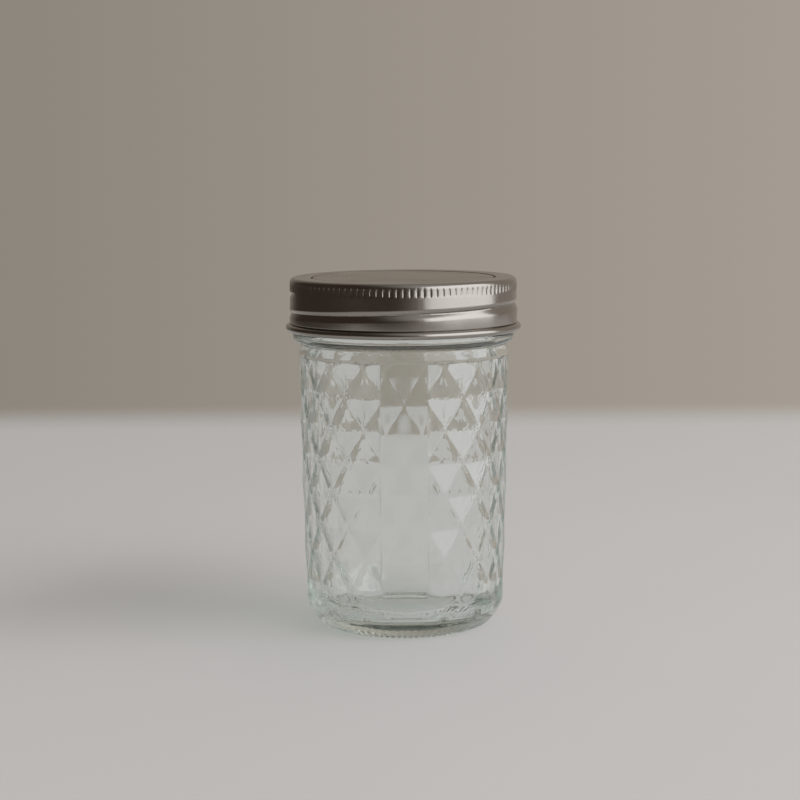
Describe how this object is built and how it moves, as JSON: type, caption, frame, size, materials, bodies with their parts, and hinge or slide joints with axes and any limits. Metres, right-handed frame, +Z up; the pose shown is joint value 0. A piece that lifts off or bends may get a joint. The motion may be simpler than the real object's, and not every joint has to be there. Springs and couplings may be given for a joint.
{
  "type": "preserving jar",
  "caption": "Empty quilted-glass preserving jar with a plain front panel, closed by a flat metal disc under a screw band with a knurled edge.",
  "frame": {"origin": "centre of the foot, on the surface that the jar stands on", "axes": "+Z up along the jar's axis; -Y faces the front, where the plain panel is; +X to the right of that front"},
  "size_m": [0.075, 0.075, 0.112],
  "materials": {
    "glass": "clear pressed glass with a faint green tint, more so where it is thick",
    "disc_metal": "satin warm grey tinplate",
    "band_metal": "satin warm grey tinplate, rolled and knurled"
  },
  "bodies": {
    "root": {"jar_glass": "glass", "lid_disc": "disc_metal", "screw_band": "band_metal"}
  },
  "joints": []
}
